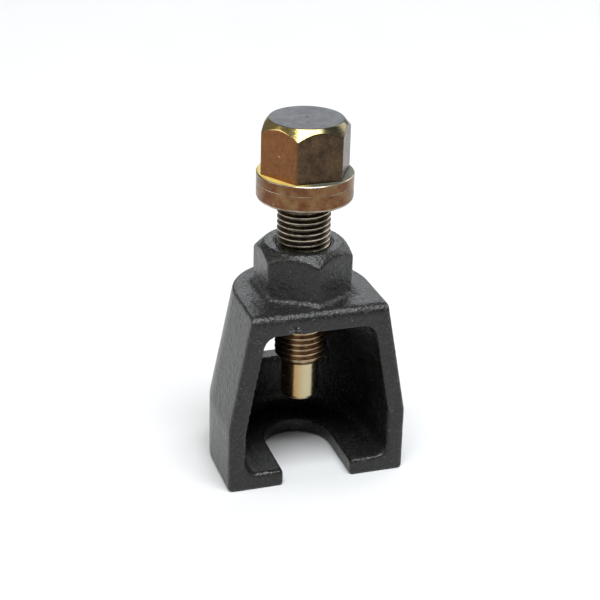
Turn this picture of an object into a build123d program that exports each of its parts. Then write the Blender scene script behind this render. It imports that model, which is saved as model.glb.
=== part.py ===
from build123d import *
import math
import os

# Ball joint separator: a forged body with a fork in its base, and a forcing screw
# that runs down through a tapped boss on its top.
#
# Millimetres. The origin is where the screw's axis meets the underside of the base.
# +Z runs up the screw, the fork's mouth faces -Y, and +X is to the right of it.

# ---------------------------------------------------------------- driving dimensions
FRONT_Y = -21.8             # flat front face of the body
BASE_HALF_WIDTH = 31.5      # also the radius of the round back at the base
TOP_HALF_WIDTH = 23.7       # also the radius of the round back at the top
BREAK_Z = 23.0              # the walls stand upright below this and lean in above it
TOP_Z = 64.0                # upper face of the top plate
TOP_PLATE = 7.2             # thickness of the top plate
BASE_PLATE = 6.0            # thickness of the base plate
WALL = 6.3                  # thickness of the side and back walls

FORK_WIDTH = 24.0           # the slot that straddles the joint's taper

BOSS_FLATS = 30.0           # hexagon on top of the body, across the flats
BOSS_TOP_Z = 81.0
BOSS_TOP_CIRCLE = 13.3      # radius at which the hexagon's top chamfer starts

WINDOW_WIDTH = 18.0         # window in the back wall
WINDOW_SILL_Z = 25.2
WINDOW_TOP_Z = 44.0

THREAD_RADIUS = 9.0         # M18 x 2, right-handed
PITCH = 2.0
THREAD_DEPTH = 1.23         # of the screw's own thread
CREST_WIDTH = PITCH / 8
THREAD_CLEARANCE = 0.06     # radial, between the screw's crests and the bore
THREAD_START_Z = 38.6       # lower end of the screw's thread
COLLAR_BOTTOM_Z = 96.3
COLLAR_TOP_Z = 105.7
COLLAR_RADIUS = 16.2
HEAD_FLATS = 27.0
HEAD_TOP_Z = 123.8
HEAD_TOP_CIRCLE = 12.3
HEAD_TURN = 1.5             # degrees that the head stands turned from square
RUNOUT = 2.5                # plain length between the thread and the collar
COLLAR_EDGE = 0.3           # chamfer on the collar's rims

PIN_RADIUS = 6.6            # pressure pin in the screw's lower end
PIN_BOTTOM_Z = 23.3
PIN_TOP_Z = THREAD_START_Z - 0.9
PIN_END_ROUND = 1.8
PIN_SHOULDER_EDGE = 0.5
SPIGOT_RADIUS = 4.0
SPIGOT_LENGTH = 9.0
SPIGOT_CLEARANCE = 0.05

# ---------------------------------------------------------------- edges
TOP_EDGE = 0.9              # rounding of the top plate's sides and back
FRONT_EDGE = 1.5            # rounding round the front face
FOOT_EDGE = 0.7             # rounding round the underside
BOSS_FOOT = 2.2             # fillet at the hexagon's foot
CAVITY_TOP_FILLET = 5.0
CAVITY_BASE_FILLET = 4.0
WINDOW_FILLET = 5.0
MOUTH_EDGE = 0.8            # rounding of the fork's upright corners at its mouth
TINE_EDGE = 1.6             # rounding of the tines' top edges at the front
MOUTH_FLARE = 1.1           # 45 degree countersinks at the bore's two ends
BOSS_CHAMFER = 44.0         # degrees that the hexagons' top chamfers slope down
HEAD_CHAMFER = 50.0
FLANK_SLOPE = math.tan(math.radians(30))        # of the thread's flanks
RIDGE_ROOT = 0.2            # how far the thread ridge reaches into its core, to join it

EPS = 0.01


def d_outline(half_width, front_y, z):
    """A half round of the given radius, carried straight forward to front_y."""
    with BuildSketch(Plane.XY.offset(z)) as sketch:
        with BuildLine():
            Polyline((half_width, 0), (half_width, front_y), (-half_width, front_y), (-half_width, 0))
            ThreePointArc((-half_width, 0), (0, half_width), (half_width, 0))
        make_face()
    return sketch.sketch


def outer_half_width(z):
    """Half width of the body's leaning walls at the height z."""
    lean = (BASE_HALF_WIDTH - TOP_HALF_WIDTH) / (TOP_Z - BREAK_Z)
    return BASE_HALF_WIDTH - lean * max(0.0, z - BREAK_Z)


def turned(*points):
    """Revolve a closed outline of (radius, z) points about the screw's axis."""
    with BuildSketch(Plane.XZ) as sketch:
        with BuildLine():
            Polyline(*points, close=True)
        make_face()
    return revolve(sketch.sketch, Axis.Z)


def hexagon(across_flats, bottom_z, top_z, turn):
    """A hexagonal prism with two corners on the X axis when turn is 0."""
    with BuildSketch(Plane.XY.offset(bottom_z)) as sketch:
        RegularPolygon(across_flats / 2, 6, major_radius=False, rotation=turn)
    return extrude(sketch.sketch, top_z - bottom_z)


def top_chamfered(solid, top_circle, slope_degrees, bottom_z, top_z):
    """Cut a hexagon's upper corners off with a cone that starts at top_circle."""
    reach = 1.5 * top_circle
    cone_foot_z = top_z - (reach - top_circle) * math.tan(math.radians(slope_degrees))
    cutter = turned((0, bottom_z), (reach, bottom_z), (reach, cone_foot_z), (top_circle, top_z), (0, top_z))
    return solid & cutter


def thread_ridge(core_radius, start_z, height):
    """The screw's helical ridge, reaching a little way into the core that it joins."""
    inner_radius = core_radius - RIDGE_ROOT
    inner_half = CREST_WIDTH / 2 + (THREAD_RADIUS - inner_radius) * FLANK_SLOPE
    path = Helix(pitch=PITCH, height=height, radius=inner_radius, center=(0, 0, start_z))
    with BuildSketch(Plane(origin=(0, 0, start_z), x_dir=(1, 0, 0), z_dir=(0, -1, 0))) as sketch:
        with BuildLine():
            Polyline(
                (inner_radius, -inner_half),
                (THREAD_RADIUS, -CREST_WIDTH / 2),
                (THREAD_RADIUS, CREST_WIDTH / 2),
                (inner_radius, inner_half),
                close=True,
            )
        make_face()
    return sweep(sketch.sketch, path=path, is_frenet=True)


def make_shell():
    """The body's outer form, before anything is cut out of it or put on it."""
    foot = extrude(d_outline(BASE_HALF_WIDTH, FRONT_Y, 0), BREAK_Z)
    bell = loft(
        [d_outline(BASE_HALF_WIDTH, FRONT_Y, BREAK_Z), d_outline(TOP_HALF_WIDTH, FRONT_Y, TOP_Z)],
        ruled=True,
    )
    shell = foot + bell
    top_edges = shell.edges().group_by(Axis.Z)[-1]
    shell = fillet(top_edges.filter_by(lambda e: e.center().Y > FRONT_Y + 1), TOP_EDGE)
    front = shell.faces().filter_by(Axis.Y).sort_by(Axis.Y)[0]
    shell = fillet(front.edges().filter_by(lambda e: e.center().Z > 1), FRONT_EDGE)
    return fillet(shell.faces().sort_by(Axis.Z)[0].edges(), FOOT_EDGE)


def make_boss():
    """The hexagon that stands on the top plate."""
    boss = hexagon(BOSS_FLATS, TOP_Z - 1, BOSS_TOP_Z, 30)
    return top_chamfered(boss, BOSS_TOP_CIRCLE, BOSS_CHAMFER, TOP_Z - 2, BOSS_TOP_Z)


def boss_foot_edges(body):
    """The six edges where the hexagon meets the top plate."""
    flat_radius = BOSS_FLATS / 2
    level = body.edges().filter_by(lambda e: abs(e.center().Z - TOP_Z) < EPS)
    return level.filter_by(lambda e: abs(math.hypot(e.center().X, e.center().Y) - flat_radius) < 0.1)


def make_cavity():
    """The room inside the bell, open at the front."""
    past_front = FRONT_Y - 10
    ceiling_z = TOP_Z - TOP_PLATE
    low = d_outline(BASE_HALF_WIDTH - WALL, past_front, BREAK_Z)
    high = d_outline(outer_half_width(ceiling_z) - WALL, past_front, ceiling_z)
    room = extrude(d_outline(BASE_HALF_WIDTH - WALL, past_front, BASE_PLATE), BREAK_Z - BASE_PLATE)
    room = room + loft([low, high], ruled=True)
    room = fillet(room.edges().group_by(Axis.Z)[-1], CAVITY_TOP_FILLET)
    return fillet(room.edges().group_by(Axis.Z)[0], CAVITY_BASE_FILLET)


def make_fork_slot():
    """The U slot through the base plate, centred on the screw."""
    with BuildSketch(Plane.XY.offset(-1)) as sketch:
        Circle(FORK_WIDTH / 2)
        with Locations((0, FRONT_Y)):
            Rectangle(FORK_WIDTH, -2 * FRONT_Y)
    return extrude(sketch.sketch, BASE_PLATE + 5)


def make_window():
    """The window through the back wall."""
    height = WINDOW_TOP_Z - WINDOW_SILL_Z
    with BuildSketch(Plane.XZ.offset(-BASE_HALF_WIDTH - 1)) as sketch:
        with Locations((0, (WINDOW_SILL_Z + WINDOW_TOP_Z) / 2)):
            RectangleRounded(WINDOW_WIDTH, height, WINDOW_FILLET)
    return extrude(sketch.sketch, BASE_HALF_WIDTH - TOP_HALF_WIDTH / 2)


def front_edges(body):
    return body.edges().filter_by(lambda e: abs(e.center().Y - FRONT_Y) < EPS)


def mouth_corners(body):
    """The fork's two upright corner edges."""
    upright = front_edges(body).filter_by(Axis.Z)
    return upright.filter_by(lambda e: abs(abs(e.center().X) - FORK_WIDTH / 2) < 0.1)


def tine_tops(body):
    """The top-front edges of the fork's two tines."""
    return front_edges(body).filter_by(Axis.X).filter_by(lambda e: abs(e.center().Z - BASE_PLATE) < EPS)


def make_bore():
    """The screw's bore up through the boss, countersunk at both ends."""
    ceiling_z = TOP_Z - TOP_PLATE
    bore_radius = THREAD_RADIUS + THREAD_CLEARANCE
    mouth_radius = bore_radius + MOUTH_FLARE
    return turned(
        (0, ceiling_z - 1),
        (mouth_radius, ceiling_z - 1),
        (mouth_radius, ceiling_z),
        (bore_radius, ceiling_z + MOUTH_FLARE),
        (bore_radius, BOSS_TOP_Z - MOUTH_FLARE),
        (mouth_radius, BOSS_TOP_Z),
        (mouth_radius, BOSS_TOP_Z + 1),
        (0, BOSS_TOP_Z + 1),
    )


def make_body():
    body = make_shell() - make_cavity() - make_window() - make_fork_slot()
    body = fillet(tine_tops(body), TINE_EDGE)
    body = fillet(mouth_corners(body), MOUTH_EDGE)
    body = body + make_boss() - make_bore()
    return fillet(boss_foot_edges(body), BOSS_FOOT)


def make_screw():
    """Hexagon head, collar, thread and the socket for the pressure pin."""
    core_radius = THREAD_RADIUS - THREAD_DEPTH
    thread_end_z = COLLAR_BOTTOM_Z - RUNOUT
    stem = turned(
        (0, THREAD_START_Z),
        (core_radius, THREAD_START_Z),
        (core_radius, COLLAR_BOTTOM_Z),
        (COLLAR_RADIUS - COLLAR_EDGE, COLLAR_BOTTOM_Z),
        (COLLAR_RADIUS, COLLAR_BOTTOM_Z + COLLAR_EDGE),
        (COLLAR_RADIUS, COLLAR_TOP_Z - COLLAR_EDGE),
        (COLLAR_RADIUS - COLLAR_EDGE, COLLAR_TOP_Z),
        (0, COLLAR_TOP_Z),
    )
    head = hexagon(HEAD_FLATS, COLLAR_TOP_Z - 1, HEAD_TOP_Z, HEAD_TURN)
    head = top_chamfered(head, HEAD_TOP_CIRCLE, HEAD_CHAMFER, COLLAR_TOP_Z - 2, HEAD_TOP_Z)
    thread_length = thread_end_z - THREAD_START_Z
    ridge = thread_ridge(core_radius, THREAD_START_Z - PITCH, thread_length + 2 * PITCH)
    past_crest = THREAD_RADIUS + 1
    point = past_crest - core_radius
    envelope = turned(
        (0, THREAD_START_Z),
        (core_radius, THREAD_START_Z),
        (past_crest, THREAD_START_Z + point),
        (past_crest, thread_end_z - point),
        (core_radius, thread_end_z),
        (0, thread_end_z),
    )
    socket_depth = SPIGOT_LENGTH + 0.5
    socket = Pos(0, 0, THREAD_START_Z) * Cylinder(SPIGOT_RADIUS + SPIGOT_CLEARANCE, 2 * socket_depth)
    return stem + (ridge & envelope) + head - socket


def make_pin():
    """Pressure pin: a plain nose with a round end, and a spigot that sits in the screw."""
    length = PIN_TOP_Z - PIN_BOTTOM_Z
    nose = Pos(0, 0, PIN_BOTTOM_Z + length / 2) * Cylinder(PIN_RADIUS, length)
    nose = fillet(nose.edges().sort_by(Axis.Z)[0], PIN_END_ROUND)
    nose = chamfer(nose.edges().sort_by(Axis.Z)[-1], PIN_SHOULDER_EDGE)
    spigot = Pos(0, 0, PIN_TOP_Z + SPIGOT_LENGTH / 2 - 1) * Cylinder(SPIGOT_RADIUS, SPIGOT_LENGTH + 2)
    return nose + spigot


os.makedirs("parts", exist_ok=True)
pieces = {
    "fork_body": make_body(),
    "forcing_screw": make_screw(),
    "pressure_pin": make_pin(),
}
for name, piece in pieces.items():
    export_step(piece, f"parts/{name}.step")
    print(name, round(piece.volume), "mm3", piece.bounding_box())
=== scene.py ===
import math
import random

import bmesh
import bpy
from mathutils import Matrix, Vector, noise


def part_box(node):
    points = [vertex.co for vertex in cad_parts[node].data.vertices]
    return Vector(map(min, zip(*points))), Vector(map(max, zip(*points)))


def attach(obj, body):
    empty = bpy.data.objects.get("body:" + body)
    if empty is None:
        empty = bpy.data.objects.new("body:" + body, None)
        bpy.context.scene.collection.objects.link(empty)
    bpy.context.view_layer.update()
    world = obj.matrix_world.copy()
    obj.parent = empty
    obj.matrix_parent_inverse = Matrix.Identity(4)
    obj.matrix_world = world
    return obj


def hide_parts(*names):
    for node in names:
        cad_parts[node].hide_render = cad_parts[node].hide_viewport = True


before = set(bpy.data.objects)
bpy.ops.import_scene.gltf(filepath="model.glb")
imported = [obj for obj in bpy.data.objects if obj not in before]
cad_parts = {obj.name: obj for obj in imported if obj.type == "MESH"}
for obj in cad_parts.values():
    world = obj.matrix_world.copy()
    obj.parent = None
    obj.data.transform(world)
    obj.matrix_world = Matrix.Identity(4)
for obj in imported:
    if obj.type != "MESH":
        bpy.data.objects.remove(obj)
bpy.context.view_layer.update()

# Metres, in the frame of the CAD model: +Z up the screw, the fork's mouth towards -Y.
MM = 0.001

# ------------------------------------------------------------------ the view
VIEW_AZIMUTH = math.radians(-18.56)     # from straight ahead, round towards -X
VIEW_ELEVATION = math.radians(24.81)
VIEW_ROLL = math.radians(1.57)
VIEW_DISTANCE = 523 * MM
VIEW_TARGET = Vector((-0.55, 0.2, 58.7)) * MM
LENS = 92.1                             # focal length and sensor width, in millimetres
SENSOR = 36

# ------------------------------------------------------------------ sizes
BODY_LOW, BODY_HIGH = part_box("fork_body")
SCREW_LOW, SCREW_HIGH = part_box("forcing_screw")
PIN_LOW, PIN_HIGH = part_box("pressure_pin")

PITCH = 2 * MM
THREAD_RADIUS = 9 * MM
CORE_RADIUS = 7.77 * MM
THREAD_BOTTOM = SCREW_LOW[2]
THREAD_TOP = SCREW_HIGH[2] - 30 * MM
FLANK_SLOPE = math.tan(math.radians(30))

COLLAR_RADIUS = SCREW_HIGH[0]
COLLAR_BOTTOM = THREAD_TOP + 2.5 * MM
COLLAR_TOP = SCREW_HIGH[2] - 18.1 * MM
COLLAR_LINE = COLLAR_TOP - 3.4 * MM     # a fine groove turned round the collar
HEAD_FLATS = 27 * MM
HEAD_TOP = SCREW_HIGH[2]
HEAD_TOP_CIRCLE = 12.3 * MM             # radius of the flat circle on top of the head
HEAD_TURN = math.radians(1.5)
HEAD_CORNER = 0.8 * MM                  # radius of the hexagon's upright edges
CHAMFER_SLOPE = math.tan(math.radians(50))
SOCKET_RADIUS = 4.05 * MM
SOCKET_DEPTH = 9.5 * MM

PIN_RADIUS = PIN_HIGH[0]
PIN_SHOULDER = THREAD_BOTTOM - 0.9 * MM
SPIGOT_RADIUS = 4 * MM

BOSS_TOP = BODY_HIGH[2]
PLATE_TOP = BOSS_TOP - 17 * MM
CEILING = BOSS_TOP - 24.2 * MM          # underside of the top plate
BORE_RADIUS = 9.06 * MM
BORE_MOUTH = 1.1 * MM                   # depth of the countersinks at the bore's ends
THREAD_GAP = 0.1 * MM                   # between the screw's thread and the tapped one

EDGE_STEPS = 2                          # facets each side of a hexagon's rounded edge
FLAT_STEPS = 16                         # facets across each flat of the hexagon


# ------------------------------------------------------------------ colours
FACE_DARK = (0.05, 0.052, 0.062, 1)
FACE_LIGHT = (0.1, 0.102, 0.11, 1)
COPPER = (0.21, 0.088, 0.034, 1)
BROWN = (0.045, 0.03, 0.019, 1)
UMBER = (0.1, 0.062, 0.036, 1)
TAN = (0.22, 0.13, 0.06, 1)
RUST = (0.13, 0.048, 0.022, 1)
BRONZE = (0.19, 0.15, 0.085, 1)
GOLD = (0.44, 0.34, 0.13, 1)
# Bright gold for the ledge's left side: a painted reflection of light
LEDGE_GOLD_HIGHLIGHT = (0.9, 0.68, 0.16, 1)
OLIVE = (0.1, 0.105, 0.06, 1)
# Pale zinc for the screw's rims: a painted highlight
RIM_SILVER_HIGHLIGHT = (0.5, 0.44, 0.38, 1)
DULL = (0.12, 0.125, 0.1, 1)
STRAW = (0.5, 0.44, 0.28, 1)
AMBER = (0.5, 0.33, 0.15, 1)

LEFT = math.radians(-75)                # the side on which the zinc's colour turns
AT_CORNER = (0.83, 0.86)                # the head's corner between its left and front flats


# ------------------------------------------------------------------ shaders
class Shader:
    """A Principled material, with one-line calls for the patterns that feed it."""

    def __init__(self, name, **values):
        self.material = bpy.data.materials.new(name)
        self.material.use_nodes = True
        self.tree = self.material.node_tree
        self.principled = self.tree.nodes["Principled BSDF"]
        self.coordinates = self.add("ShaderNodeTexCoord").outputs["Object"]
        for key, value in values.items():
            self.principled.inputs[key.replace("_", " ")].default_value = value

    def add(self, kind, **settings):
        node = self.tree.nodes.new(kind)
        for key, value in settings.items():
            setattr(node, key, value)
        return node

    def feed(self, socket, value):
        """Link an output to an input, or set the input to a number or a colour."""
        if isinstance(value, bpy.types.NodeSocket):
            self.tree.links.new(value, socket)
        else:
            socket.default_value = value

    def stretched(self, x, y, z):
        """Object coordinates scaled along each axis."""
        node = self.add("ShaderNodeMapping")
        self.feed(node.inputs["Vector"], self.coordinates)
        node.inputs["Scale"].default_value = (x, y, z)
        return node.outputs["Vector"]

    def height(self):
        node = self.add("ShaderNodeSeparateXYZ")
        self.feed(node.inputs["Vector"], self.coordinates)
        return node.outputs["Z"]

    def radius(self):
        """Distance from the screw's axis."""
        node = self.add("ShaderNodeVectorMath", operation="LENGTH")
        self.feed(node.inputs[0], self.stretched(1, 1, 0))
        return node.outputs["Value"]

    def rings(self):
        """Coordinates that change only with the distance from the screw's axis."""
        node = self.add("ShaderNodeCombineXYZ")
        self.feed(node.inputs["X"], self.radius())
        return node.outputs["Vector"]

    def facing(self, azimuth):
        """1 on the side of the axis that looks towards azimuth, 0 on the far side."""
        unit = self.add("ShaderNodeVectorMath", operation="NORMALIZE")
        self.feed(unit.inputs[0], self.stretched(1, 1, 0))
        dot = self.add("ShaderNodeVectorMath", operation="DOT_PRODUCT")
        self.feed(dot.inputs[0], unit.outputs["Vector"])
        dot.inputs[1].default_value = (math.sin(azimuth), -math.cos(azimuth), 0)
        return self.ranged(dot.outputs["Value"], -1, 1)

    def noise(self, size, detail=2.0, roughness=0.5, coordinates=None, seed=0.0):
        """Noise whose features are about size metres across."""
        node = self.add("ShaderNodeTexNoise", noise_dimensions="4D")
        self.feed(node.inputs["Vector"], coordinates or self.coordinates)
        node.inputs["W"].default_value = seed
        node.inputs["Scale"].default_value = 1 / size
        node.inputs["Detail"].default_value = detail
        node.inputs["Roughness"].default_value = roughness
        return node.outputs["Fac"]

    def ranged(self, value, low, high, to_low=0.0, to_high=1.0):
        """A value mapped from low..high to to_low..to_high, and held there."""
        node = self.add("ShaderNodeMapRange")
        self.feed(node.inputs["Value"], value)
        node.inputs["From Min"].default_value = low
        node.inputs["From Max"].default_value = high
        node.inputs["To Min"].default_value = to_low
        node.inputs["To Max"].default_value = to_high
        return node.outputs["Result"]

    def combine(self, operation, a, b):
        node = self.add("ShaderNodeMath", operation=operation)
        self.feed(node.inputs[0], a)
        self.feed(node.inputs[1], b)
        return node.outputs["Value"]

    def mix(self, factor, a, b):
        """Colour a where factor is 0, b where it is 1."""
        node = self.add("ShaderNodeMix", data_type="RGBA")
        self.feed(node.inputs["Factor"], factor)
        colours = [socket for socket in node.inputs if socket.type == "RGBA"]
        self.feed(colours[0], a)
        self.feed(colours[1], b)
        return next(socket for socket in node.outputs if socket.type == "RGBA")

    def bump(self, height, depth, under=None):
        """A normal for a surface that stands depth metres proud where height is 1."""
        node = self.add("ShaderNodeBump")
        self.feed(node.inputs["Height"], height)
        node.inputs["Distance"].default_value = depth
        if under:
            self.feed(node.inputs["Normal"], under)
        return node.outputs["Normal"]

    def finish(self, colour, roughness, normal):
        self.feed(self.principled.inputs["Base Color"], colour)
        self.feed(self.principled.inputs["Roughness"], roughness)
        self.feed(self.principled.inputs["Normal"], normal)
        return self.material


def grey(level, warmth=0.0):
    return (level * (1 + warmth), level, level * (1 - warmth), 1)


def forging():
    """Black phosphated forging: grained, with pale dots painted in as glints of its sparkle, and
    greased round the bore.
    """
    shader = Shader("black_forging", Specular_IOR_Level=0.38)
    clouds = shader.noise(12 * MM, detail=4)
    grain = shader.noise(1.1 * MM, detail=3, roughness=0.6)
    # Pale dots: painted glints, standing for light sparkling off the grain.
    painted_glints = shader.ranged(shader.noise(0.9 * MM, detail=2, seed=3), 0.65, 0.73)
    colour = shader.mix(clouds, grey(0.004), grey(0.014, 0.06))
    colour = shader.mix(shader.ranged(grain, 0.5, 0.7), colour, grey(0.025, 0.04))
    colour = shader.mix(painted_glints, colour, grey(0.07, 0.03))

    near_bore = shader.ranged(shader.radius(), 11.6 * MM, 10.8 * MM)
    on_top = shader.ranged(shader.height(), BOSS_TOP - 2 * MM, BOSS_TOP - 1 * MM)
    smears = shader.noise(2.4 * MM, detail=1, seed=7)
    patches = shader.ranged(smears, 0.4, 0.5)
    greased = shader.combine("MULTIPLY", shader.combine("MULTIPLY", near_bore, on_top), patches)
    colour = shader.mix(greased, colour, grey(0.002))
    dry = shader.ranged(clouds, 0.3, 0.7, 0.22, 0.3)
    roughness = shader.combine("SUBTRACT", dry, shader.combine("MULTIPLY", greased, 0.12))

    dimples = shader.noise(2.4 * MM, detail=2, seed=5)
    normal = shader.bump(dimples, 0.3 * MM, shader.bump(grain, 0.38 * MM))
    return shader.finish(colour, roughness, normal)


def grease():
    """Grease squeezed out of the thread."""
    shader = Shader("grease", Specular_IOR_Level=0.8)
    clots = shader.noise(0.8 * MM)
    colour = shader.mix(clots, grey(0.01), grey(0.03))
    return shader.finish(colour, 0.16, shader.bump(clots, 0.1 * MM))


def tapped_steel():
    """The cut thread inside the boss: bare steel, dark with oil."""
    shader = Shader("tapped_steel", Metallic=1.0)
    streaks = shader.noise(0.4 * MM, coordinates=shader.stretched(0.1, 0.1, 1))
    colour = shader.mix(streaks, grey(0.05), grey(0.16, 0.08))
    roughness = shader.ranged(streaks, 0.3, 0.7, 0.28, 0.45)
    return shader.finish(colour, roughness, shader.bump(streaks, 0.03 * MM))


def zinc(name, dark, light, roughness, marks, dirt, patch=6 * MM, tint=None, turn=(0.5, 0.92),
         metallic=1.0):
    """Passivated zinc on turned or milled steel.

    The colour wanders between dark and light in patches of about the size patch, and
    turns to tint on the left, over the part of the way round that turn gives. marks gives
    the tool marks' coordinates, and dirt is how much of the colour they hide.
    """
    shader = Shader(name, Metallic=metallic)
    patches = shader.ranged(shader.noise(patch, detail=5, roughness=0.65), 0.36, 0.64)
    colour = shader.mix(patches, dark, light)
    if tint:
        towards = shader.ranged(shader.facing(LEFT), *turn)
        darker_tint = tuple(0.8 * value for value in tint)
        colour = shader.mix(towards, colour, shader.mix(patches, tint, darker_tint))
    lines = shader.noise(0.3 * MM, detail=3, coordinates=marks(shader))
    mottle = shader.noise(1.3 * MM, detail=4, roughness=0.6, seed=2)
    half_lines = shader.combine("MULTIPLY", lines, 0.5)
    worn = shader.combine("ADD", half_lines, shader.combine("MULTIPLY", mottle, 0.5))
    colour = shader.mix(shader.ranged(worn, 0.36, 0.52, dirt, 0), colour, grey(0.02, 0.2))
    colour = shader.mix(shader.ranged(worn, 0.5, 0.7, 0, 0.5 * dirt), colour, (0.3, 0.23, 0.16, 1))
    nicks = shader.ranged(shader.noise(1.3 * MM, detail=1, seed=9), 0.755, 0.78, 0, 0.6)
    colour = shader.mix(nicks, colour, (0.5, 0.36, 0.24, 1))
    rough = shader.ranged(mottle, 0.3, 0.7, roughness - 0.06, roughness + 0.08)
    return shader.finish(colour, rough, shader.bump(lines, 0.04 * MM))


def turned_lines(shader):
    """Lines round the axis, on an upright wall."""
    return shader.stretched(0.03, 0.03, 1)


def milled(shader):
    """Short upright strokes, on a hexagon's flats."""
    return shader.stretched(1, 1, 0.35)


def facing_marks(shader):
    """Rings about the axis, on a level face."""
    return shader.rings()


def rolled_thread(name, upper_colour, lower_colour, roughness):
    """Rolled thread: darker from the boss upwards, lighter below it."""
    shader = Shader(name, Metallic=1.0)
    patches = shader.noise(2.2 * MM, detail=3)
    above = shader.ranged(shader.height(), CEILING - 4 * MM, BOSS_TOP)
    upper_share = shader.combine("ADD", shader.ranged(patches, 0.3, 0.7, -0.35, 0.35), above)
    colour = shader.mix(shader.ranged(upper_share, 0, 1), lower_colour, upper_colour)
    dirt = shader.ranged(shader.noise(2.6 * MM, detail=2, seed=6), 0.42, 0.6, 0.45, 0)
    colour = shader.mix(dirt, colour, grey(0.02, 0.3))
    lines = shader.noise(0.3 * MM, coordinates=turned_lines(shader))
    rough = shader.ranged(patches, 0.3, 0.7, roughness, roughness + 0.12)
    return shader.finish(colour, rough, shader.bump(lines, 0.02 * MM))


# ------------------------------------------------------------------ meshes
class Skin:
    """Faces collected by the places of their corners, which share a vertex where they meet."""

    def __init__(self):
        self.vertices = {}
        self.faces = []
        self.finishes = []

    def face(self, places, finish):
        corners = []
        for place in places:
            key = tuple(round(value, 8) for value in place)
            corner = self.vertices.setdefault(key, len(self.vertices))
            if corner not in corners:
                corners.append(corner)
        if len(corners) > 2:
            self.faces.append(corners)
            self.finishes.append(finish)

    def around(self, angles, outline):
        """Skin a closed ring of outlines. outline(angle) gives (radius, z, finish) points."""
        columns = []
        for angle in angles:
            columns.append([(at(angle, radius, z), finish) for radius, z, finish in outline(angle)])
        for column, following in zip(columns, columns[1:] + columns[:1]):
            for row in range(len(column) - 1):
                corners = (column[row], following[row], following[row + 1], column[row + 1])
                self.face([place for place, _ in corners], column[row][1])

    def thread(self, angles, profile, low, high, trim):
        """Skin a right-hand thread between two heights.

        profile is one pitch of (offset, radius, finish) points, and trim(radius, z) is
        the radius that is left of it at the height z. The turns past each end shrink
        onto that end's rim, where face() drops them.
        """
        first = math.floor((low - THREAD_BOTTOM) / PITCH) - 1
        turns = math.ceil((high - low) / PITCH) + 3

        def place(step, point):
            if point == len(profile):
                return place(step + len(angles), 0)
            turn, position = divmod(step, len(angles))
            angle = angles[position]
            offset, radius, finish = profile[point]
            z = THREAD_BOTTOM + PITCH * (first + turn + angle / math.tau) + offset
            z = min(max(z, low), high)
            return at(angle, trim(radius, z), z)

        for step in range(turns * len(angles)):
            for point in range(len(profile)):
                corners = (place(step, point), place(step + 1, point))
                corners += (place(step + 1, point + 1), place(step, point + 1))
                self.face(corners, profile[point][2])

    def mesh(self, name, materials, crease):
        """The mesh, with its edges sharp where faces meet at more than crease degrees."""
        mesh = bpy.data.meshes.new(name)
        mesh.from_pydata(list(self.vertices), [], self.faces)
        mesh.polygons.foreach_set("material_index", self.finishes)
        for material in materials:
            mesh.materials.append(material)
        work = bmesh.new()
        work.from_mesh(mesh)
        bmesh.ops.recalc_face_normals(work, faces=work.faces)
        work.to_mesh(mesh)
        work.free()
        mesh.shade_smooth()
        mesh.set_sharp_from_angle(angle=math.radians(crease))
        return mesh


def at(angle, radius, z):
    return (radius * math.cos(angle), radius * math.sin(angle), z)


def rounded(points, steps=4):
    """An outline of (radius, z, rounding, finish) points with its corners rounded.

    rounding is how far each side of the corner its curve starts, and finish belongs to
    the stretch after the point.
    """
    outline = []
    for index, (radius, z, rounding, finish) in enumerate(points):
        if not rounding:
            outline.append((radius, z, finish))
            continue
        corner = Vector((radius, z))
        before = Vector(points[index - 1][:2])
        after = Vector(points[index + 1][:2])
        start = corner + (before - corner).normalized() * rounding
        end = corner + (after - corner).normalized() * rounding
        for step in range(steps + 1):
            t = step / steps
            place = (1 - t) ** 2 * start + 2 * t * (1 - t) * corner + t ** 2 * end
            past_middle = step >= steps / 2
            outline.append((place.x, place.y, finish if past_middle else points[index - 1][3]))
    return outline


def piece(name, mesh, body, slot, *nodes):
    """An object that rides on a body and stands for the given CAD nodes."""
    thing = bpy.data.objects.new(name, mesh)
    bpy.context.scene.collection.objects.link(thing)
    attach(thing, body)
    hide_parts(*nodes)
    return thing


def even_normals(thing):
    """Keep flat faces flat in the shading, beside the small facets of their rounded edges."""
    modifier = thing.modifiers.new("even_normals", "WEIGHTED_NORMAL")
    modifier.keep_sharp = True


# ------------------------------------------------------------------ the forcing screw
def edge_centre():
    """How far from the axis the centres of the hexagon's rounded edges lie."""
    return (HEAD_FLATS / 2 - HEAD_CORNER) / math.cos(math.radians(30))


def half_edge():
    """Half the angle that a rounded edge takes up about the axis."""
    across = HEAD_CORNER * math.sin(math.radians(30))
    return math.atan2(across, edge_centre() + HEAD_CORNER * math.cos(math.radians(30)))


def ring_angles():
    """The angles of every ring's points, closer together on the hexagon's edges."""
    angles = []
    flat = math.radians(60) - 2 * half_edge()
    for side in range(6):
        edge = HEAD_TURN + side * math.radians(60)
        angles += [edge + half_edge() * step / EDGE_STEPS for step in range(-EDGE_STEPS, EDGE_STEPS)]
        angles += [edge + half_edge() + flat * step / FLAT_STEPS for step in range(FLAT_STEPS)]
    return angles


def hexagon_radius(angle):
    """Distance from the axis to the head's side, in the direction angle."""
    turned = (angle - HEAD_TURN + math.radians(30)) % math.radians(60) - math.radians(30)
    from_edge = abs(turned)
    if from_edge < half_edge():
        centre = edge_centre()
        reach = HEAD_CORNER ** 2 - (centre * math.sin(from_edge)) ** 2
        return centre * math.cos(from_edge) + math.sqrt(reach)
    return HEAD_FLATS / 2 / math.cos(math.radians(30) - from_edge)


# The rim finish on the collar's rims, its groove and the thread's lower end is pale zinc: a painted
# highlight along these edges.
FACE, CHAMFER, FLATS, LEDGE, COLLAR, RIM_HIGHLIGHT, FLANK, CREST = range(8)      # the screw's finishes


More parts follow.
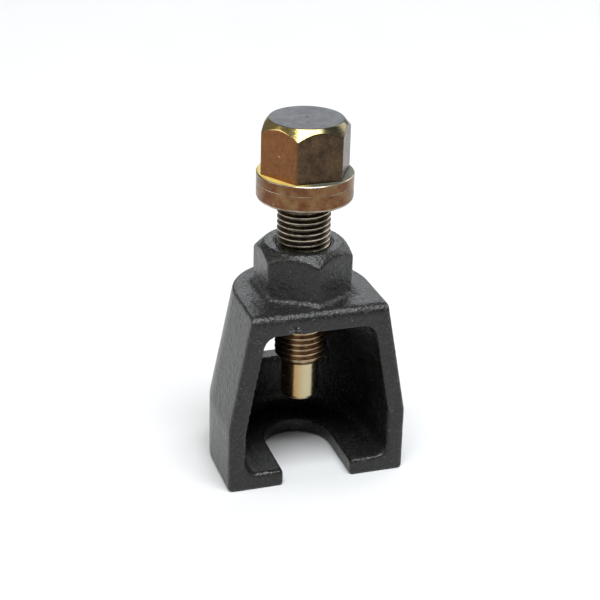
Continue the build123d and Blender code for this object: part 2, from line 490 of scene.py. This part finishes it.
def head_outline(angle):
    """From the middle of the head's top down to the top of the thread."""
    side = hexagon_radius(angle)
    chamfer_foot = HEAD_TOP - (side - HEAD_TOP_CIRCLE) * CHAMFER_SLOPE
    return rounded([
        (0, HEAD_TOP - 0.25 * MM, 0, FACE),
        (0.9 * MM, HEAD_TOP, 0.25 * MM, FACE),
        (HEAD_TOP_CIRCLE, HEAD_TOP, 0.3 * MM, CHAMFER),
        (side, chamfer_foot, 0.3 * MM, FLATS),
        (side, COLLAR_TOP, 0.2 * MM, LEDGE),
        # The rim stretches below are painted highlights, pale where the collar's edges and groove catch
        # the light.
        (COLLAR_RADIUS - 0.3 * MM, COLLAR_TOP, 0.1 * MM, RIM_HIGHLIGHT),
        (COLLAR_RADIUS, COLLAR_TOP - 0.3 * MM, 0.1 * MM, COLLAR),
        (COLLAR_RADIUS, COLLAR_LINE + 0.1 * MM, 0, COLLAR),
        (COLLAR_RADIUS - 0.05 * MM, COLLAR_LINE, 0, RIM_HIGHLIGHT),
        (COLLAR_RADIUS, COLLAR_LINE - 0.15 * MM, 0, COLLAR),
        (COLLAR_RADIUS, COLLAR_BOTTOM + 1.1 * MM, 0.4 * MM, RIM_HIGHLIGHT),
        (COLLAR_RADIUS - 0.4 * MM, COLLAR_BOTTOM + 0.35 * MM, 0.3 * MM, RIM_HIGHLIGHT),
        (COLLAR_RADIUS - 1.1 * MM, COLLAR_BOTTOM, 0.3 * MM, COLLAR),
        (CORE_RADIUS, COLLAR_BOTTOM, 0.5 * MM, FLANK),
        (CORE_RADIUS, THREAD_TOP, 0, FLANK),
    ])


def screw_end_outline(angle):
    """From the thread's lower end into the socket that holds the pressure pin."""
    return [
        # The ring at the thread's lower end takes the rim finish: a painted highlight.
        (CORE_RADIUS, THREAD_BOTTOM, RIM_HIGHLIGHT),
        (SOCKET_RADIUS, THREAD_BOTTOM, FLANK),
        (SOCKET_RADIUS, THREAD_BOTTOM + SOCKET_DEPTH, FLANK),
        (0, THREAD_BOTTOM + SOCKET_DEPTH, FLANK),
    ]


def screw_profile():
    """One pitch of the screw's thread, from groove to groove."""
    crest = PITCH / 16
    ease = 0.12 * MM
    root = crest + (THREAD_RADIUS - CORE_RADIUS) * FLANK_SLOPE
    return [
        (-PITCH / 2, CORE_RADIUS, FLANK),
        (-root, CORE_RADIUS, FLANK),
        (-crest - ease, THREAD_RADIUS - ease, CREST),
        (-crest, THREAD_RADIUS, CREST),
        (crest, THREAD_RADIUS, CREST),
        (crest + ease, THREAD_RADIUS - ease, FLANK),
        (root, CORE_RADIUS, FLANK),
    ]


def screw_trim(radius, z):
    """The thread runs out to its core at both ends, at 45 degrees."""
    from_end = min(z - THREAD_BOTTOM, THREAD_TOP - z)
    return min(radius, CORE_RADIUS + from_end)


def make_screw():
    materials = [
        zinc("zinc_face", FACE_DARK, FACE_LIGHT, 0.42, facing_marks, dirt=0.3, patch=3 * MM),
        zinc("zinc_chamfer", OLIVE, BRONZE, 0.2, facing_marks, dirt=0.1, patch=5 * MM, tint=GOLD),
        zinc("zinc_flats", BROWN, UMBER, 0.3, milled, dirt=0.35, patch=4 * MM, tint=COPPER,
             turn=AT_CORNER),
        # The ledge turns bright gold on its left: a painted reflection of light.
        zinc("zinc_ledge", OLIVE, DULL, 0.5, facing_marks, dirt=0.1, tint=LEDGE_GOLD_HIGHLIGHT,
             turn=(0.7, 0.85), metallic=0.4),
        zinc("zinc_collar", TAN, RUST, 0.28, turned_lines, dirt=0.25, patch=4 * MM),
        # Pale zinc on the rims: a painted highlight where the edges catch the light.
        zinc("zinc_rim_highlight", RIM_SILVER_HIGHLIGHT, BRONZE, 0.3, turned_lines, dirt=0.1, patch=5 * MM),
        rolled_thread("thread_flanks", (0.09, 0.078, 0.06, 1), (0.44, 0.3, 0.18, 1), 0.3),
        rolled_thread("thread_crests", (0.52, 0.47, 0.38, 1), (0.6, 0.48, 0.32, 1), 0.25),
    ]
    skin = Skin()
    angles = ring_angles()
    skin.around(angles, head_outline)
    skin.thread(angles, screw_profile(), THREAD_BOTTOM, THREAD_TOP, screw_trim)
    skin.around(angles, screw_end_outline)
    mesh = skin.mesh("forcing_screw_mesh", materials, crease=28)
    even_normals(piece("forcing_screw_visual", mesh, "screw", "screw_zinc", "forcing_screw"))


# ------------------------------------------------------------------ the pressure pin
PALE = 0                                # the pin's one finish


def pin_outline(angle):
    """From the middle of the nose's end up to the middle of the spigot's."""
    return rounded([
        (0, PIN_LOW[2], 0, PALE),
        (PIN_RADIUS, PIN_LOW[2], 1.8 * MM, PALE),
        (PIN_RADIUS, PIN_SHOULDER - 0.5 * MM, 0.2 * MM, PALE),
        (PIN_RADIUS - 0.5 * MM, PIN_SHOULDER, 0.1 * MM, PALE),
        (SPIGOT_RADIUS, PIN_SHOULDER, 0, PALE),
        (SPIGOT_RADIUS, PIN_HIGH[2] - 0.5 * MM, 0, PALE),
        (SPIGOT_RADIUS - 0.5 * MM, PIN_HIGH[2], 0, PALE),
        (0, PIN_HIGH[2], 0, PALE),
    ], steps=6)


def make_pin():
    skin = Skin()
    skin.around(ring_angles(), pin_outline)
    material = zinc("zinc_pale", STRAW, STRAW, 0.2, turned_lines, dirt=0.12, patch=3 * MM,
                    tint=AMBER, turn=(0.66, 0.84))
    mesh = skin.mesh("pressure_pin_mesh", [material], crease=40)
    even_normals(piece("pressure_pin_visual", mesh, "travel", "pin_zinc", "pressure_pin"))


# ------------------------------------------------------------------ the fork body
FORGING, TAPPED, GREASE = range(3)      # the body's finishes

FORGED_CELL = 0.6 * MM                  # size of the forging's facets
SWELL_SIZE = 16 * MM                    # slow waves in its surface
SWELL_DEPTH = 0.12 * MM
PIT_SIZE = 1.8 * MM                     # and fine pits
PIT_DEPTH = 0.05 * MM
EDGE_ROLL = 3.4 * MM                    # radius of the edge between the top plate and the front
FOOT_INNER = 13.5 * MM                  # the ring in which the boss's foot is softened
FOOT_OUTER = 20 * MM
FOOT_LOW = PLATE_TOP - 1 * MM
FOOT_HIGH = PLATE_TOP + 5 * MM
FOOT_PASSES = 30
TAPPED_CREST = CORE_RADIUS + 0.28 * MM  # inner radius of the tapped thread
SLEEVE_REACH = 0.54 * MM                # how far the tapped thread's mesh stands past the bore
SLEEVE_WALL = 0.6 * MM                  # how much further it goes, inside the boss

DENT_RADIUS = 2.8 * MM                  # a shallow dent low on the front of the top plate
DENT_DEPTH = 0.8 * MM
DENT_PLACE = Vector((-9.3 * MM, BODY_LOW[1], CEILING + 1.6 * MM))
DENT_BEADS = ((-1 * MM, 1.5 * MM), (1.6 * MM, 1.1 * MM))    # grease: place along it, radius
MOUTH_BEADS = 16                        # beads of grease round the bore's upper mouth
MOUTH_BEAD_RING = BORE_RADIUS + 0.9 * MM    # radius of the ring that they lie on
MOUTH_BEAD_LEVEL = BOSS_TOP - 0.45 * MM     # half a bead's radius above its middle


def tapped_profile():
    """One pitch of the boss's thread, from ridge to ridge, clear of the screw's thread."""
    root_radius = THREAD_RADIUS + THREAD_GAP
    groove_half = PITCH / 16 + THREAD_GAP
    root = groove_half - THREAD_GAP * FLANK_SLOPE
    crest = groove_half + (THREAD_RADIUS - TAPPED_CREST) * FLANK_SLOPE
    return [
        (-PITCH / 2, TAPPED_CREST, TAPPED),
        (-crest, TAPPED_CREST, TAPPED),
        (-root, root_radius, TAPPED),
        (root, root_radius, TAPPED),
        (crest, TAPPED_CREST, TAPPED),
    ]


def sleeve_ends():
    """The heights where the countersinks reach the sleeve's full reach."""
    inset = BORE_MOUTH - SLEEVE_REACH
    return CEILING + inset, BOSS_TOP - inset


def tapped_trim(radius, z):
    """The thread is cut back by the countersinks at both ends of the bore."""
    low, high = sleeve_ends()
    from_end = min(z - low, high - z)
    return max(radius, BORE_RADIUS + SLEEVE_REACH - from_end)


def sleeve_outline(angle):
    """The sleeve's ends and its back, which lie inside the boss."""
    low, high = sleeve_ends()
    inner = BORE_RADIUS + SLEEVE_REACH
    outer = inner + SLEEVE_WALL
    return [(inner, high, TAPPED), (outer, high, TAPPED), (outer, low, TAPPED), (inner, low, TAPPED)]


def forged_mesh():
    """The CAD body in small facets, with its edges and the boss's foot softened."""
    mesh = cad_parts["fork_body"].data.copy()
    mesh.materials.clear()
    rough = bpy.data.objects.new("forging_work", mesh)
    bpy.context.scene.collection.objects.link(rough)
    remesh = rough.modifiers.new("cells", "REMESH")
    remesh.mode = "VOXEL"
    remesh.voxel_size = FORGED_CELL
    smooth = rough.modifiers.new("soften", "SMOOTH")
    smooth.factor = 0.5
    smooth.iterations = 4
    graph = bpy.context.evaluated_depsgraph_get()
    forged = bpy.data.meshes.new_from_object(rough.evaluated_get(graph))
    bpy.data.objects.remove(rough)
    soften_foot(forged)
    return forged


def soften_foot(forged):
    """Widen the fillet where the hexagon boss meets the top plate."""
    work = bmesh.new()
    work.from_mesh(forged)
    foot = []
    for vertex in work.verts:
        near = FOOT_INNER < math.hypot(vertex.co.x, vertex.co.y) < FOOT_OUTER
        if near and FOOT_LOW < vertex.co.z < FOOT_HIGH:
            foot.append(vertex)
    every_axis = {"use_axis_x": True, "use_axis_y": True, "use_axis_z": True}
    for _ in range(FOOT_PASSES):
        bmesh.ops.smooth_vert(work, verts=foot, factor=0.5, **every_axis)
    work.to_mesh(forged)
    work.free()


def in_bore(place):
    low, high = sleeve_ends()
    return low < place.z < high and math.hypot(place.x, place.y) < BORE_RADIUS + SLEEVE_REACH


def rolled(place):
    """The place, drawn in to the rounded edge between the top plate and the front."""
    middle_y = BODY_LOW[1] + EDGE_ROLL
    middle_z = PLATE_TOP - EDGE_ROLL
    out_y = place.y - middle_y
    out_z = place.z - middle_z
    reach = math.hypot(out_y, out_z)
    if out_y > 0 or out_z < 0 or reach < EDGE_ROLL:
        return place
    scale = EDGE_ROLL / reach
    return Vector((place.x, middle_y + out_y * scale, middle_z + out_z * scale))


def move_surface(forged):
    """Waves and pits of the forging, the bore opened for the tapped sleeve, and one dent."""
    normals = [vertex.normal.copy() for vertex in forged.vertices]
    for vertex, normal in zip(forged.vertices, normals):
        place = vertex.co
        if in_bore(place):
            scale = (BORE_RADIUS + SLEEVE_REACH) / math.hypot(place.x, place.y)
            vertex.co = (place.x * scale, place.y * scale, place.z)
            continue
        place = rolled(place)
        swell = 0.5 + 0.5 * noise.noise(place / SWELL_SIZE)
        pits = 0.5 + 0.5 * noise.noise(place / PIT_SIZE)
        depth = SWELL_DEPTH * swell + PIT_DEPTH * pits
        from_dent = (place - DENT_PLACE).length / DENT_RADIUS
        if from_dent < 1:
            depth += DENT_DEPTH * (1 - from_dent ** 2) ** 2
        vertex.co = place - normal * depth


def add_bead(work, middle, radius, stretch):
    """A ball of grease, stretched by a factor along each axis."""
    place = Matrix.Translation(middle) @ Matrix.Diagonal((*stretch, 1))
    bead = bmesh.ops.create_uvsphere(work, u_segments=20, v_segments=12, radius=radius, matrix=place)
    for face in {face for vertex in bead["verts"] for face in vertex.link_faces}:
        face.material_index = GREASE


def grease_beads():
    """Beads of grease, sunk in the dent until just behind the front face, and in the bore's mouth."""
    work = bmesh.new()
    for along, radius in DENT_BEADS:
        add_bead(work, DENT_PLACE + Vector((along, 0.55 * radius, 0)), radius, (1, 0.5, 0.8))
    chance = random.Random(4)
    for number in range(MOUTH_BEADS):
        angle = math.tau * (number + chance.uniform(-0.4, 0.4)) / MOUTH_BEADS
        radius = chance.uniform(0.25, 0.65) * MM
        middle = at(angle, MOUTH_BEAD_RING, MOUTH_BEAD_LEVEL - 0.5 * radius)
        add_bead(work, Vector(middle), radius, (1, 1, 0.8))
    mesh = bpy.data.meshes.new("grease_mesh")
    work.to_mesh(mesh)
    work.free()
    return mesh


def make_body():
    forged = forged_mesh()
    move_surface(forged)
    skin = Skin()
    skin.thread(ring_angles(), tapped_profile(), *sleeve_ends(), tapped_trim)
    skin.around(ring_angles(), sleeve_outline)
    materials = [forging(), tapped_steel(), grease()]
    sleeve = skin.mesh("tapped_sleeve_mesh", materials, crease=40)
    work = bmesh.new()
    work.from_mesh(forged)
    work.from_mesh(sleeve)
    work.from_mesh(grease_beads())
    mesh = bpy.data.meshes.new("fork_body_mesh")
    work.to_mesh(mesh)
    work.free()
    for material in materials:
        mesh.materials.append(material)
    mesh.shade_smooth()
    mesh.set_sharp_from_angle(angle=math.radians(50))
    piece("fork_body_visual", mesh, "body", "body_black", "fork_body")


# ------------------------------------------------------------------ floor, light and camera
FLOOR_REACH = 3.0
LAMP_DISTANCE = 2.5
WORLD_STRENGTH = 0.26
LAMPS = (
    # name, azimuth and elevation, spread across and up, radiance, colour
    ("overhead", (-2, 69), (46, 22), 13, (0.95, 0.98, 1)),
    ("left", (-100, 24), (26, 34), 3.6, (1, 0.96, 0.89)),
    ("right", (115, 28), (24, 34), 2.4, (1, 1, 1)),
    ("back", (162, 24), (36, 22), 2.4, (0.93, 0.97, 1)),
)


def make_floor():
    shader = Shader("pale_floor", Specular_IOR_Level=0.2)
    clouds = shader.noise(60 * MM, detail=3)
    colour = shader.mix(clouds, grey(0.68), grey(0.72))
    material = shader.finish(colour, 0.8, shader.bump(clouds, 0.2 * MM))
    mesh = bpy.data.meshes.new("floor_mesh")
    corners = [(x * FLOOR_REACH, y * FLOOR_REACH, 0) for x, y in ((-1, -1), (1, -1), (1, 1), (-1, 1))]
    mesh.from_pydata(corners, [], [(0, 1, 2, 3)])
    mesh.materials.append(material)
    floor = bpy.data.objects.new("floor", mesh)
    bpy.context.scene.collection.objects.link(floor)


def direction(azimuth, elevation):
    """A unit vector from the object, with azimuth 0 out of the fork's mouth."""
    level = math.cos(elevation)
    return Vector((math.sin(azimuth) * level, -math.cos(azimuth) * level, math.sin(elevation)))


def soft_box(name, bearing, spread, radiance, colour):
    """A rectangular lamp turned towards the object, spread degrees wide and high from there."""
    lamp = bpy.data.lights.new(name, "AREA")
    lamp.shape = "RECTANGLE"
    lamp.size, lamp.size_y = (2 * LAMP_DISTANCE * math.tan(math.radians(angle / 2)) for angle in spread)
    lamp.energy = radiance * lamp.size * lamp.size_y * math.pi
    lamp.color = colour
    away = direction(*(math.radians(angle) for angle in bearing))
    thing = bpy.data.objects.new(name, lamp)
    turn = away.to_track_quat("Z", "Y").to_matrix().to_4x4()
    thing.matrix_world = Matrix.Translation(LAMP_DISTANCE * away) @ turn
    thing.visible_camera = False
    bpy.context.scene.collection.objects.link(thing)


def make_light():
    world = bpy.data.worlds.new("studio")
    world.use_nodes = True
    background = world.node_tree.nodes["Background"]
    background.inputs["Color"].default_value = (1, 1, 1, 1)
    background.inputs["Strength"].default_value = WORLD_STRENGTH
    bpy.context.scene.world = world
    bpy.context.scene.view_settings.view_transform = "Standard"
    for lamp in LAMPS:
        soft_box(*lamp)


def make_camera():
    """A long lens, from the front left and above."""
    toward_camera = direction(VIEW_AZIMUTH, VIEW_ELEVATION)
    level_right = Vector((math.cos(VIEW_AZIMUTH), math.sin(VIEW_AZIMUTH), 0))
    level_up = toward_camera.cross(level_right)
    right = math.cos(VIEW_ROLL) * level_right + math.sin(VIEW_ROLL) * level_up
    up = toward_camera.cross(right)
    turn = Matrix((right, up, toward_camera)).transposed().to_4x4()
    data = bpy.data.cameras.new("camera")
    data.lens = LENS
    data.sensor_width = SENSOR
    data.clip_start = 0.01
    camera = bpy.data.objects.new("camera", data)
    camera.matrix_world = Matrix.Translation(VIEW_TARGET + VIEW_DISTANCE * toward_camera) @ turn
    bpy.context.scene.collection.objects.link(camera)
    bpy.context.scene.camera = camera


make_camera()
make_light()
make_floor()
make_body()
make_screw()
make_pin()
